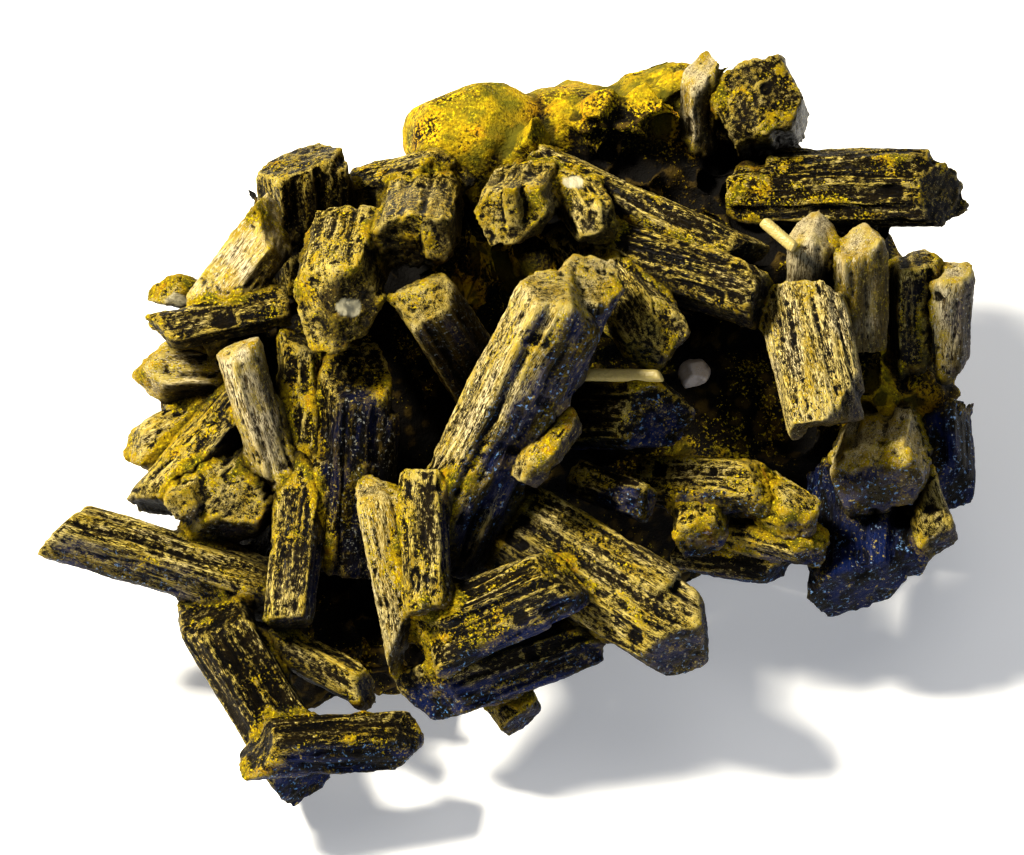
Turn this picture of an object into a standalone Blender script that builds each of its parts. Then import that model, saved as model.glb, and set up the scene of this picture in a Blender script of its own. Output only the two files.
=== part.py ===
"""Epidote: long olive-black prisms grown through one another on a wedge of yellow-green rock.

Sizes are in millimetres and are turned into metres where a mesh is made. Places on the specimen are
written as (across, up, out) on its display face, the broad side that carries the crystals: across
to the right, up the slope of the face, and out of it. The face leans back on the rock, which is
broken flat underneath, and that flat rests on the ground at Z = 0.
"""

import math
import random
from typing import NamedTuple

import bmesh
import bpy
from mathutils import Matrix, Vector, noise

MM = 0.001
FACE_LOOKS_UP = math.radians(50)  # the display face's own direction, above the horizon
FACE_CENTRE_HEIGHT = 23.5  # the display face's centre, above the ground
CONTACT_GAP = 0.3  # left between two crystals, and between a crystal and the rock
# Points closer than the first number are one, and faces that turn less than the second (in degrees)
# are one face. The pairs are tried in turn until the solid stays closed.
TIDYINGS = ((0.01, 3.0), (0.004, 3.0), (0.02, 1.0), (0.01, 0.3), (0.004, 0.3), (0.002, 0.02))
VOLUME_SLACK = 0.5  # cubic millimetres by which a Boolean's volume may be off

# Section of a prism, as shares of its half width and half thickness.
SHOULDER = 0.64  # where a broad face ends and the slanted flank begins
FLANK_CORNER = 0.16  # how far a flank's corner sits off the middle
FURROW_WIDTH = 0.10  # half width of a furrow, as a share of the prism's half width
FURROW_DEPTH = 0.12  # depth of a furrow, as a share of the half thickness
LEDGE_DROP = 0.14  # how far the broad face steps down at its ledge, as a share of the half thickness
LEDGE_RUN = 0.05  # how far the ledge takes to step down, as a share of the half width
STEP_PLACE = (0.12, 0.40)  # how far off the middle a furrow or a ledge lies, as a share of the same
FURROW_VARIES = (0.7, 1.3)  # least and most of a furrow's depth
LEDGE_VARIES = (0.5, 1.2)  # least and most of a ledge's drop
END_ALLOWANCE = 1.6  # spare length at each end, as a share of the width, for the end's faces to cut

LEAST_SQUARENESS = 0.05  # keeps a steep end plane from running along the prism
NEARLY_OUTWARD = 0.86  # a prism that points out of the display face more than this is turned from "up"

CHIP_ANGLE = math.radians(52)  # how steeply a broken corner leans from the prism's axis
CHIP_LEAST = 0.3
CHIP_MOST = 0.9
CHIPPED_FROM = 2.6  # thinner crystals than this keep their corners
PLAIN_BELOW = 2.2  # thinner crystals than this have no furrows

# Colour and roughness of each kind of surface.
FINISHES = {
    "rock": ((0.36, 0.33, 0.05), 0.85),
    "dark": ((0.045, 0.040, 0.022), 0.45),
    "dusted": ((0.13, 0.115, 0.035), 0.60),
    "tan": ((0.27, 0.22, 0.13), 0.55),
    "cream": ((0.72, 0.68, 0.46), 0.60),
}

# Ways an end is finished. Each plane leans (to the side, to the face) from the prism's axis, and a
# third number, where there is one, is how far beyond the prism's end it crosses the axis.
BLUNT = ((6, -5),)
LEAN_PLUS = ((14, 3),)
LEAN_OUT = ((4, 28),)
SLANT_OUT = ((4, 34),)
SLANT_IN = ((-3, -30),)
SLANT_PLUS = ((30, 6),)
SLANT_MINUS = ((-30, 6),)
STEEP_PLUS = ((56, 4),)
STEEP_MINUS = ((-56, 4),)
ROOF = ((36, 5), (-40, 5))
WEDGE = ((3, 38), (-3, -36))
POINT = ((34, 30), (-36, 26), (4, -40))


class Rider(NamedTuple):
    """A prism grown parallel to the main one, beside it (side) and in front of or behind it (face).

    It starts this far above the main prism's foot and ends this far beyond its head.
    """

    side: float
    face: float
    wide: float
    thick: float
    start: float
    beyond: float
    tip: tuple = BLUNT


class Crystal(NamedTuple):
    name: str
    finish: str
    foot: tuple
    head: tuple
    wide: float
    thick: float
    roll: float = 0.0
    tip: tuple = BLUNT
    butt: tuple = BLUNT
    riders: tuple = ()


# The crystals in the order they grew: where two meet, the later one is moulded on the earlier one.
CRYSTALS = (
    # The tall spear in the middle, with its twin behind it, and what leans on them.
    Crystal("spear_crystal", "dusted", (-7.5, -12.5, 4), (6.2, 14.9, 16.4), 9.8, 7.6, 14,
            ((-34, 4, -1.3), (22, 6, -1.2)),
            riders=(Rider(-2.5, -4.0, 7.2, 6.6, 2.0, -1.2, ((8, 20),)),)),
    Crystal("leaf_crystal", "dusted", (6.2, 1.8, 8.5), (0.8, -5.4, 14.0), 4.0, 4.2, 10, POINT, POINT),
    Crystal("prop_crystal", "dark", (-2.6, 3.6, -3), (-9.3, 13.9, 10), 7.0, 6.0, -16, WEDGE),
    Crystal("shelf_crystal", "dark", (4.0, 1.6, -3), (14.6, 1.4, 7), 8.0, 7.0, -14, ((-24, 22),)),
    Crystal("tongue_crystal", "dark", (6.6, 19.6, -5), (15.6, 7.0, 8), 7.2, 6.0, 12, POINT),
    # The front edge.
    Crystal("front_ridge_crystal", "dusted", (-1.5, -9.6, 2), (19.0, -21.8, 10), 9.8, 8.4, -24, ROOF,
            riders=(Rider(2.0, 3.2, 5.0, 4.0, -1.0, -5.4),)),
    Crystal("front_upper_crystal", "dusted", (-8.8, -21.0, 10), (5.4, -14.8, 12), 7.6, 6.8, 18,
            SLANT_PLUS, SLANT_OUT,
            riders=(Rider(-1.8, 2.0, 3.6, 3.4, 0.4, -3.4),)),
    Crystal("front_lower_crystal", "dark", (7.6, -20.7, 3), (-8.4, -26.4, 8), 6.8, 6.6, -20, SLANT_OUT,
            riders=(Rider(1.6, -1.8, 3.6, 3.4, 1.0, -2.2),)),
    Crystal("fan_left_crystal", "tan", (-10.6, -20.8, 9), (-13.6, -5.6, 10), 5.2, 4.4, -20,
            ((4, 32), (-34, 6)), STEEP_MINUS),
    Crystal("fan_right_crystal", "dusted", (-8.9, -4.8, 10), (-8.3, -17.9, 13), 5.2, 4.4, 8, BLUNT,
            riders=(Rider(-1.0, 1.3, 2.6, 2.4, 3.0, 0.6),)),
    # The left side, top to bottom.
    Crystal("left_block_crystal", "dusted", (-16.4, 18.6, -1), (-17.6, 11.2, 12), 9.0, 8.2, 4,
            ((36, 14), (-24, 22))),
    Crystal("left_roof_crystal", "tan", (-31.0, 10.4, 0), (-23.6, 20.0, 3.4), 6.6, 5.6, -22,
            SLANT_MINUS, SLANT_PLUS),
    Crystal("left_blade_crystal", "tan", (-23.0, -6.4, 3), (-27.3, 8.0, 8), 5.0, 4.6, 14, BLUNT,
            STEEP_PLUS),
    Crystal("column_tall_crystal", "dark", (-16.6, -14.0, 1), (-15.4, 5.4, 6), 7.4, 7.0, 10, SLANT_OUT,
            riders=(Rider(-2.6, 1.0, 3.6, 4.0, 1.0, -4.0), Rider(2.8, 0.8, 3.0, 4.2, 0.5, -8.5))),
    Crystal("column_ridged_crystal", "dusted", (-20.8, -12.0, 1), (-21.2, 8.8, 4), 4.6, 5.0, -8,
            SLANT_MINUS,
            riders=(Rider(-1.2, 1.4, 2.2, 2.8, 1.0, -5.5),)),
    Crystal("trunk_crystal", "dusted", (-20.6, -3.4, 3), (-22.2, -19.4, 8), 5.4, 5.2, 6, BLUNT,
            riders=(Rider(-1.4, 0.9, 2.4, 2.8, 1.0, -2.4),)),
    Crystal("druse_head_crystal", "dusted", (-26.6, -4.6, -5), (-30.2, -9.0, 7), 10.2, 8.6, 8, POINT,
            riders=(Rider(-2.2, 2.0, 4.0, 3.6, 2.0, 0.8),)),
    Crystal("left_arm_crystal", "dusted", (-23.4, -16.6, 2), (-44.8, -10.2, 4), 6.6, 6.2, 34,
            SLANT_MINUS),
    Crystal("left_diagonal_crystal", "dusted", (-25.2, 4.4, 0), (-36.0, -7.6, 3), 5.2, 5.0, 18,
            SLANT_PLUS),
    Crystal("left_wedge_crystal", "dusted", (-26.0, 3.6, -3), (-38.2, -3.2, -1), 6.2, 5.2, -14, ROOF),
    Crystal("left_corner_crystal", "tan", (-26.2, 5.4, -3), (-37.2, 5.6, 0), 6.2, 5.4, 12, ROOF),
    Crystal("left_slat_crystal", "dusted", (-22.4, 12.2, 3.0), (-35.0, 9.4, 4.0), 4.2, 3.6, 10,
            SLANT_PLUS),
    Crystal("left_stub_crystal", "dusted", (-29.0, 12.6, -5), (-35.0, 14.0, -2), 3.8, 3.6, -12,
            SLANT_MINUS),
    # The lower left corner.
    Crystal("foot_prism_crystal", "dark", (-30.2, -18.4, 6), (-20.6, -34.2, 6.6), 7.8, 7.4, -12,
            SLANT_OUT, SLANT_OUT),
    Crystal("front_log_crystal", "dusted", (-25.0, -31.8, 12), (-8.7, -31.0, 8), 6.2, 6.2, 24, POINT,
            SLANT_PLUS,
            riders=(Rider(1.4, 1.4, 2.6, 2.8, 0.8, -5.0),)),
    Crystal("hollow_lath_crystal", "dusted", (-24.0, -21.0, 4), (-14.6, -26.0, 7), 4.2, 3.8, 16,
            SLANT_PLUS),
    # The upper left.
    Crystal("top_post_crystal", "dusted", (-20.4, 15.2, -10), (-21.4, 26.8, -4), 9.2, 7.4, 10,
            ((10, -8),),
            riders=(Rider(-3.2, 1.4, 3.4, 4.2, 2.0, -0.5),)),
    Crystal("dome_back_crystal", "dark", (-15.8, 23.2, -9), (-6.8, 25.2, -5), 6.2, 6.0, 12, SLANT_OUT),
    Crystal("dome_crystal", "dusted", (-8.8, 22.6, -6), (-9.8, 18.4, 8), 8.6, 7.0, -6, SLANT_IN,
            riders=(Rider(2.4, 0.6, 3.4, 5.0, 1.0, 1.0), Rider(-2.6, 0.4, 2.8, 4.6, 1.0, -1.8))),
    Crystal("long_upper_crystal", "dusted", (2.4, 26.2, -7.4), (23.3, 16.5, 0.5), 5.4, 6.6, -10,
            SLANT_MINUS,
            riders=(Rider(-1.8, 1.6, 2.6, 3.0, 3.0, -2.0),)),
    Crystal("long_lower_crystal", "dark", (9.6, 17.8, -1), (24.6, 12.8, 5), 5.8, 6.6, -30, BLUNT),
    Crystal("ragged_crystal", "dusted", (1.6, 24.2, -6), (0.0, 21.0, 8), 8.0, 5.6, 4, SLANT_OUT,
            riders=(Rider(2.3, 0.6, 2.2, 4.2, 1.0, -1.6), Rider(-2.5, 0.2, 2.0, 4.4, 1.0, -2.2),
                    Rider(0.2, 0.8, 2.0, 4.4, 1.0, 1.3))),
    Crystal("ragged_small_crystal", "dusted", (6.0, 24.0, -4), (8.9, 19.4, 6), 5.2, 4.6, -6, POINT),
    # The upper right.
    Crystal("top_block_crystal", "dark", (25.8, 31.4, -19), (24.6, 33.2, -5), 9.4, 8.8, 10,
            ((14, 10), (-22, 12))),
    Crystal("pale_column_crystal", "tan", (18.8, 28.6, -13), (18.9, 36.2, -8), 4.0, 4.2, 12, SLANT_PLUS),
    Crystal("beam_crystal", "dark", (22.6, 23.4, -11), (43.2, 23.4, -5), 7.0, 6.6, 10, LEAN_OUT,
            riders=(Rider(3.2, -0.4, 3.0, 4.8, 4.0, -1.2),)),
    Crystal("pale_left_crystal", "tan", (29.8, 10.6, -5), (30.2, 20.4, 1.6), 5.8, 4.8, -12, ROOF),
    Crystal("right_trunk_crystal", "tan", (28.5, 12.4, 1), (31.2, 0.4, 9), 8.4, 7.6, -8, SLANT_IN,
            riders=(Rider(3.0, 1.0, 3.4, 4.4, 1.0, -2.4), Rider(-3.0, 0.6, 2.4, 4.6, 1.0, 0.8))),
    Crystal("pale_right_crystal", "tan", (35.4, 8.6, -3), (35.0, 19.0, 2.4), 5.2, 4.8, 14, SLANT_PLUS,
            riders=(Rider(2.0, 0.8, 2.4, 2.8, 1.0, -1.2),)),
    Crystal("rim_block_crystal", "dusted", (40.2, 5.0, -9), (40.2, 16.8, -3), 5.4, 5.2, 8, BLUNT),
    Crystal("rim_cap_crystal", "tan", (43.8, 6.0, -8), (44.0, 15.6, -2), 5.0, 5.0, -10, BLUNT),
    Crystal("knob_crystal", "dusted", (37.4, -1.4, -8), (36.2, -5.4, 6), 9.8, 7.8, 4,
            ((6, -26), (-20, 14))),
    Crystal("leg_left_crystal", "dark", (34.6, -5.0, -5), (34.4, -16.2, 1.8), 10.4, 7.8, 6, LEAN_PLUS,
            riders=(Rider(4.9, 0.2, 4.4, 5.2, 6.6, -2.2),)),
    Crystal("leg_right_crystal", "tan", (40.4, -5.2, -2), (42.6, -11.6, 2.8), 4.8, 4.8, -14, BLUNT),
    Crystal("right_flank_crystal", "dark", (42.6, 3.0, -11), (43.0, -8.6, -4.5), 7.6, 7.4, 10, POINT),
    # The small ones in the middle of the right half.
    Crystal("mid_bar_crystal", "dusted", (13.4, -5.4, -1), (25.2, -6.0, 6), 5.8, 5.6, -18, SLANT_PLUS,
            riders=(Rider(-1.4, 1.2, 2.4, 2.8, 1.0, -4.6),)),
    Crystal("mid_oval_crystal", "dusted", (22.4, -5.6, 0), (29.8, -9.4, 8), 5.4, 4.8, 8, POINT),
    Crystal("mid_brick_crystal", "dusted", (18.4, -6.0, -2), (18.6, -11.2, 7), 5.6, 4.8, 6, BLUNT),
    Crystal("mid_tail_crystal", "dusted", (21.6, -9.6, 0), (31.4, -12.2, 6), 4.8, 5.0, -10, POINT),
    Crystal("mid_peg_crystal", "dusted", (6.8, -5.2, 2), (13.4, -7.6, 7), 4.2, 4.2, -24, BLUNT),
    Crystal("mid_under_crystal", "dark", (17.0, -12.2, -4), (27.0, -13.8, 1), 4.8, 5.0, 12, SLANT_MINUS),
    Crystal("under_stub_crystal", "dusted", (-1.6, -25.0, 1), (0.9, -29.2, 3.4), 5.2, 4.6, -10, BLUNT),
    # Pale laths and a pale lump lying among the crystals.
    Crystal("cream_lath_upper", "cream", (25.0, 20.6, 3), (28.2, 17.8, 4.4), 1.4, 1.2, 20, BLUNT),
    Crystal("cream_lath_middle", "cream", (7.0, 5.2, 7), (14.8, 5.1, 9.4), 1.4, 1.4, -8, SLANT_PLUS),
    Crystal("quartz_lump", "cream", (18.2, 5.6, -2), (18.0, 5.2, 3), 3.4, 2.6, 10, POINT),
)

# Stubby crystals that grow out of the rock and are one solid with it.
ROCK_STUDS = (
    Crystal("stud_1", "dark", (6.0, 28.0, -15), (9.6, 33.0, -7), 5.0, 4.6, 10, ROOF),
    Crystal("stud_2", "dark", (12.0, 28.0, -15), (13.6, 33.4, -8), 4.6, 4.2, 24, SLANT_PLUS),
    Crystal("stud_3", "dark", (-2.0, 24.0, -12), (3.0, 29.4, -6), 4.6, 4.0, 12, SLANT_MINUS),
    Crystal("stud_4", "dusted", (34.0, 4.0, -16), (41.0, 5.6, -8), 6.0, 5.0, 6, ROOF),
    Crystal("stud_5", "dark", (-22.0, 12.0, -18), (-36.0, 12.0, -17), 7.0, 6.4, 10, ROOF),
    Crystal("stud_6", "dark", (-14.0, 18.0, -16), (-27.0, 21.6, -15), 6.6, 6.0, 12, SLANT_PLUS),
    Crystal("stud_7", "dark", (28.0, 13.0, -20), (41.0, 14.6, -17), 6.6, 6.0, 12, ROOF),
    Crystal("stud_8", "dark", (-5.0, 11.0, -11), (-3.6, 16.4, -1), 6.4, 5.2, 14, ROOF),
)


class Lump(NamedTuple):
    centre: tuple
    radii: tuple
    steps: int


# The rock is these lumps merged, largest first. Then it is broken flat underneath and behind: each
# break is a point on it and the way it looks, in the specimen's own frame.
ROCK_LUMPS = (
    Lump((-5.0, 0.0, -18), (31, 27, 14.5), 3),
    Lump((28.0, 6.0, -17), (17, 20, 13), 3),
    Lump((-22.0, -18.0, -8), (10, 12, 9), 2),
    Lump((-3.4, 29.0, -14), (8.2, 6, 8), 3),
    Lump((7.0, 30.5, -17), (9, 5, 8), 3),
    Lump((17.0, 33.2, -19), (8, 5, 8), 3),
    Lump((15.0, 26.0, -18), (8, 7, 8), 2),
    Lump((24.0, 27.0, -21), (8, 6, 8), 2),
    Lump((31.0, 28.0, -13), (3.4, 2.6, 4), 2),
    Lump((39.8, 3.4, -13), (6.4, 8, 7.4), 2),
    Lump((3.0, -18.0, -8), (10, 6, 8), 2),
    Lump((-12.4, -23.6, -3), (5.4, 4.6, 6), 2),
    Lump((-30.0, 4.0, -10), (6.4, 12, 7), 2),
)
ROCK_BREAKS = (
    ((0, 0, 0), (0, 0, -1)),
    ((0, 34, 10), (0.10, 0.93, -0.34)),
    ((-30, 20, 10), (-0.74, 0.62, -0.20)),
    ((36, 26, 10), (0.78, 0.60, -0.16)),
)
ROCK_GRAIN = 0.16  # how close together the rock's own bumps are
ROCK_ROUGHNESS = 1.6  # how far they stand out
ROCK_FRACTAL = (1.0, 2.2, 3)  # how the bumps fade, how much finer each set is, and how many sets


def on_face(across, up, out):
    """A place on the display face, as a point of the specimen's own frame."""
    rise = Vector((0, math.sin(FACE_LOOKS_UP), math.cos(FACE_LOOKS_UP)))
    proud = Vector((0, -math.cos(FACE_LOOKS_UP), math.sin(FACE_LOOKS_UP)))
    return Vector((across, 0, FACE_CENTRE_HEIGHT)) + rise * up + proud * out


def prism_frame(foot, head, roll):
    """Matrix of a prism: its foot at the origin, its axis along +Z and its broad face towards +Y."""
    axis = (head - foot).normalized()
    outward = on_face(0, 0, 1) - on_face(0, 0, 0)
    upward = on_face(0, 1, 0) - on_face(0, 0, 0)
    reference = outward if abs(axis.dot(outward)) < NEARLY_OUTWARD else upward
    face = (reference - axis * axis.dot(reference)).normalized()
    face = Matrix.Rotation(math.radians(roll), 3, axis) @ face
    side = face.cross(axis)
    turn = Matrix((side, face, axis)).transposed().to_4x4()
    return Matrix.Translation(foot) @ turn


def section(wide, thick, rng=None):
    """Corners of a prism's section, front face then back face. A random source adds the furrows."""
    half_wide = wide / 2
    half_thick = thick / 2
    corners = []
    for side in (1, -1):
        floor = 1.0
        corners.append((side * SHOULDER * half_wide, side * half_thick))
        if rng:
            place = rng.uniform(*STEP_PLACE)
            depth = FURROW_DEPTH * rng.uniform(*FURROW_VARIES)
            for step, height in ((FURROW_WIDTH, 1.0), (0.0, 1.0 - depth), (-FURROW_WIDTH, 1.0)):
                corners.append((side * (place + step) * half_wide, side * height * half_thick))
            place = -rng.uniform(*STEP_PLACE)
            floor = 1.0 - LEDGE_DROP * rng.uniform(*LEDGE_VARIES)
            corners.append((side * place * half_wide, side * half_thick))
            corners.append((side * (place - LEDGE_RUN) * half_wide, side * floor * half_thick))
        corners.append((-side * SHOULDER * half_wide, side * floor * half_thick))
        corners.append((-side * half_wide, side * FLANK_CORNER * half_thick))
    return corners


def extrude_section(corners, bottom, top):
    """Closed straight prism on the given corners, between two heights."""
    solid = bmesh.new()
    ring = [solid.verts.new((across, out, bottom)) for across, out in corners]
    base = solid.faces.new(ring)
    lifted = bmesh.ops.extrude_face_region(solid, geom=[base])["geom"]
    lifted = [item for item in lifted if isinstance(item, bmesh.types.BMVert)]
    bmesh.ops.translate(solid, verts=lifted, vec=(0, 0, top - bottom))
    bmesh.ops.recalc_face_normals(solid, faces=solid.faces)
    return solid


def cut_flat(solid, point, outward):
    """Cut a solid by a plane, drop what lies outside it and close the cut."""
    everything = solid.verts[:] + solid.edges[:] + solid.faces[:]
    bmesh.ops.bisect_plane(solid, geom=everything, plane_co=point, plane_no=outward, clear_outer=True)
    open_edges = [edge for edge in solid.edges if edge.is_boundary]
    if open_edges:
        bmesh.ops.holes_fill(solid, edges=open_edges, sides=0)


def end_planes(tip, end, sign, grow):
    """The planes that finish one end, as (point, outward) pairs."""
    for to_side, to_face, *shift in tip:
        outward = Vector((math.sin(math.radians(to_side)), math.sin(math.radians(to_face)), 0))
        outward.z = sign * math.sqrt(max(LEAST_SQUARENESS, 1 - outward.length_squared))
        outward.normalize()
        yield Vector((0, 0, end + sign * sum(shift))) + outward * grow, outward


def chip_planes(wide, thick, length, rng):
    """Broken corners: planes that shave the rim of the head and of the foot."""
    for end, sign in ((length, 1), (0, -1)):
        around = rng.uniform(0, math.tau)
        outward = Vector((math.cos(around), math.sin(around), 0)) * math.sin(CHIP_ANGLE)
        outward.z = sign * math.cos(CHIP_ANGLE)
        rim = Vector((math.cos(around) * wide / 2, math.sin(around) * thick / 2, end))
        yield rim - outward * rng.uniform(CHIP_LEAST, CHIP_MOST), outward


def prism(wide, thick, length, tip, butt, rng=None, grow=0.0):
    """One crystal along +Z. With rng it has furrows, ledges and chips; without, it is the plain form."""
    spare = END_ALLOWANCE * max(wide, thick)
    furrows = rng if min(wide, thick) > PLAIN_BELOW else None
    corners = section(wide + 2 * grow, thick + 2 * grow, furrows)
    solid = extrude_section(corners, -spare, length + spare)
    for point, outward in end_planes(tip, length, 1, grow):
        cut_flat(solid, point, outward)
    for point, outward in end_planes(butt, 0, -1, grow):
        cut_flat(solid, point, outward)
    if rng and min(wide, thick) > CHIPPED_FROM:
        for point, outward in chip_planes(wide, thick, length, rng):
            cut_flat(solid, point, outward)
    return solid


def face_outward(solid):
    """Make every face of a closed solid look out of it."""
    bmesh.ops.recalc_face_normals(solid, faces=solid.faces)
    if solid.calc_volume(signed=True) < 0:
        bmesh.ops.reverse_faces(solid, faces=solid.faces)


def add_object(solid, name):
    """Turn a working solid into an object. Its unit is still the millimetre."""
    bmesh.ops.triangulate(solid, faces=solid.faces)
    face_outward(solid)
    mesh = bpy.data.meshes.new(name)
    solid.to_mesh(mesh)
    solid.free()
    item = bpy.data.objects.new(name, mesh)
    bpy.context.scene.collection.objects.link(item)
    return item


def discard(item):
    mesh = item.data
    bpy.data.objects.remove(item)
    bpy.data.meshes.remove(mesh)


def boolean(item, other, operation, solver):
    """The mesh that a Boolean of two objects gives, with neither of them changed."""
    step = item.modifiers.new(operation.lower(), "BOOLEAN")
    step.solver = solver
    step.operation = operation
    step.object = other
    depsgraph = bpy.context.evaluated_depsgraph_get()
    result = bpy.data.meshes.new_from_object(item.evaluated_get(depsgraph))
    item.modifiers.clear()
    return result


def closed_volume(mesh):
    """Volume of a mesh, or None where it is open."""
    solid = bmesh.new()
    solid.from_mesh(mesh)
    closed = len(solid.faces) > 3 and all(edge.is_manifold for edge in solid.edges)
    volume = solid.calc_volume(signed=True) if closed else None
    solid.free()
    return volume


def is_sound(result, first, second, operation):
    """True where a Boolean's result is closed and as large as the two volumes allow."""
    volume = closed_volume(result)
    if volume is None:
        return False
    own = closed_volume(first)
    other = closed_volume(second)
    if operation == "UNION":
        return max(own, other) - VOLUME_SLACK < volume < own + other + VOLUME_SLACK
    return max(0.0, own - other - VOLUME_SLACK) < volume < own + VOLUME_SLACK


def combine(item, others, operation):
    """Join others to an object or cut them from it: exact Booleans, manifold ones where those fail."""
    for other in others:
        before = item.data
        result = boolean(item, other, operation, "EXACT")
        if not is_sound(result, before, other.data, operation):
            bpy.data.meshes.remove(result)
            result = boolean(item, other, operation, "MANIFOLD")
        item.data = result
        bpy.data.meshes.remove(before)


def build_crystal(crystal, name, detailed, grow=0.0):
    """A crystal with everything grown parallel to it, as one solid."""
    foot = on_face(*crystal.foot)
    head = on_face(*crystal.head)
    place = prism_frame(foot, head, crystal.roll)
    length = (head - foot).length
    rng = random.Random(crystal.name) if detailed else None
    solid = prism(crystal.wide, crystal.thick, length, crystal.tip, crystal.butt, rng, grow)
    solid.transform(place)
    item = add_object(solid, name)
    for rider in crystal.riders:
        rider_length = length + rider.beyond - rider.start
        solid = prism(rider.wide, rider.thick, rider_length, rider.tip, BLUNT, rng, grow)
        solid.transform(place @ Matrix.Translation((rider.side, rider.face, rider.start)))
        extra = add_object(solid, name + "_rider")
        combine(item, [extra], "UNION")
        discard(extra)
    return item


def build_lump(lump, name, grow):
    """One lump of rock: a ball drawn out along the display face's axes and roughened."""
    solid = bmesh.new()
    bmesh.ops.create_icosphere(solid, subdivisions=lump.steps, radius=1)
    for vert in solid.verts:
        spot = Vector(vert.co[axis] * (lump.radii[axis] + grow) for axis in range(3))
        spot += Vector(lump.centre)
        rough = noise.fractal(spot * ROCK_GRAIN, *ROCK_FRACTAL)
        spot += vert.co.normalized() * rough * ROCK_ROUGHNESS
        vert.co = on_face(*spot)
    return add_object(solid, name)


def build_rock(name, detailed):
    """The rock with the stubby crystals that grow out of it. Without detail it is swollen by the gap."""
    grow = 0.0 if detailed else CONTACT_GAP
    rock = build_lump(ROCK_LUMPS[0], name, grow)
    grown = [build_lump(lump, name + "_lump", grow) for lump in ROCK_LUMPS[1:]]
    grown += [build_crystal(stud, name + "_stud", detailed, grow) for stud in ROCK_STUDS]
    for extra in grown:
        combine(rock, [extra], "UNION")
        discard(extra)
    solid = bmesh.new()
    solid.from_mesh(rock.data)
    for point, outward in ROCK_BREAKS:
        outward = Vector(outward).normalized()
        cut_flat(solid, Vector(point) + outward * grow, outward)
    bmesh.ops.triangulate(solid, faces=solid.faces)
    solid.to_mesh(rock.data)
    solid.free()
    return rock


def bounds(item):
    corners = [vert.co for vert in item.data.vertices]
    low = Vector(min(corner[axis] for corner in corners) for axis in range(3))
    high = Vector(max(corner[axis] for corner in corners) for axis in range(3))
    return low, high


def meet(first, second):
    """True where the boxes round two objects overlap."""
    low_a, high_a = bounds(first)
    low_b, high_b = bounds(second)
    return all(low_a[axis] < high_b[axis] and low_b[axis] < high_a[axis] for axis in range(3))


def islands(solid):
    """The separate pieces of a working solid, as lists of vertices."""
    unseen = set(solid.verts)
    while unseen:
        start = unseen.pop()
        piece = [start]
        for vert in piece:
            for edge in vert.link_edges:
                other = edge.other_vert(vert)
                if other in unseen:
                    unseen.remove(other)
                    piece.append(other)
        yield piece


def volume_of(piece):
    """Volume that a closed piece encloses, whichever way its faces look."""
    faces = {face for vert in piece for face in vert.link_faces}
    origin = piece[0].co
    total = 0.0
    for face in faces:
        first = face.verts[0].co - origin
        for near, far in zip(face.verts[1:-1], face.verts[2:]):
            total += first.dot((near.co - origin).cross(far.co - origin)) / 6
    return abs(total)


def keep_largest(solid):
    """Delete every piece of a working solid but the one with the most volume."""
    pieces = sorted(islands(solid), key=volume_of)
    stray = [vert for piece in pieces[:-1] for vert in piece]
    bmesh.ops.delete(solid, geom=stray, context="VERTS")


def cleaned(mesh, speck, turn):
    """A working copy of a mesh: its largest piece, with the specks that the cuts leave merged."""
    solid = bmesh.new()
    solid.from_mesh(mesh)
    keep_largest(solid)
    bmesh.ops.remove_doubles(solid, verts=solid.verts, dist=speck)
    flat = math.radians(turn)
    bmesh.ops.dissolve_limit(solid, angle_limit=flat, verts=solid.verts, edges=solid.edges)
    bmesh.ops.triangulate(solid, faces=solid.faces)
    bmesh.ops.dissolve_degenerate(solid, dist=speck, edges=solid.edges)
    bmesh.ops.triangulate(solid, faces=solid.faces)
    keep_largest(solid)
    face_outward(solid)
    return solid


def clean_up(item):
    """Tidy an object's mesh, merging as much as leaves it closed and clear of itself."""
    for speck, turn in TIDYINGS:
        solid = cleaned(item.data, speck, turn)
        if all(edge.is_manifold for edge in solid.edges):
            solid.to_mesh(item.data)
            solid.free()
            return
        solid.free()


def paint(item, finish):
    """Give an object a material of its own."""
    colour, roughness = FINISHES[finish]
    material = bpy.data.materials.new(item.name)
    material.use_nodes = True
    shader = material.node_tree.nodes["Principled BSDF"]
    shader.inputs["Base Color"].default_value = (*colour, 1)
    shader.inputs["Roughness"].default_value = roughness
    shader.inputs["Metallic"].default_value = 0.0
    material.diffuse_color = (*colour, 1)
    item.data.materials.clear()
    item.data.materials.append(material)


def settle(items):
    """Bring the whole specimen over the origin, standing on Z = 0, and turn millimetres to metres."""
    boxes = [bounds(item) for item in items]
    low = Vector(min(box[0][axis] for box in boxes) for axis in range(3))
    high = Vector(max(box[1][axis] for box in boxes) for axis in range(3))
    middle = Vector(((low.x + high.x) / 2, (low.y + high.y) / 2, low.z))
    move = Matrix.Scale(MM, 4) @ Matrix.Translation(-middle)
    for item in items:
        item.data.transform(move)
        item.data.update()


def main():
    for item in list(bpy.data.objects):
        bpy.data.objects.remove(item)
    rock = build_rock("matrix", detailed=True)
    clean_up(rock)
    paint(rock, "rock")
    items = [rock]
    earlier = [build_rock("matrix_mould", detailed=False)]
    for crystal in CRYSTALS:
        item = build_crystal(crystal, crystal.name, detailed=True)
        combine(item, [mould for mould in earlier if meet(item, mould)], "DIFFERENCE")
        clean_up(item)
        paint(item, crystal.finish)
        items.append(item)
        earlier.append(build_crystal(crystal, crystal.name + "_mould", False, CONTACT_GAP))
    for mould in earlier:
        discard(mould)
    settle(items)


main()
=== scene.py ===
"""The finish of an epidote cluster: striated crystals, yellow crust, druse on the rock, and studio light."""

import itertools
import math
from typing import NamedTuple

import bmesh
import bpy
import numpy as np
from mathutils import Matrix, Vector
from mathutils.bvhtree import BVHTree


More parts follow.
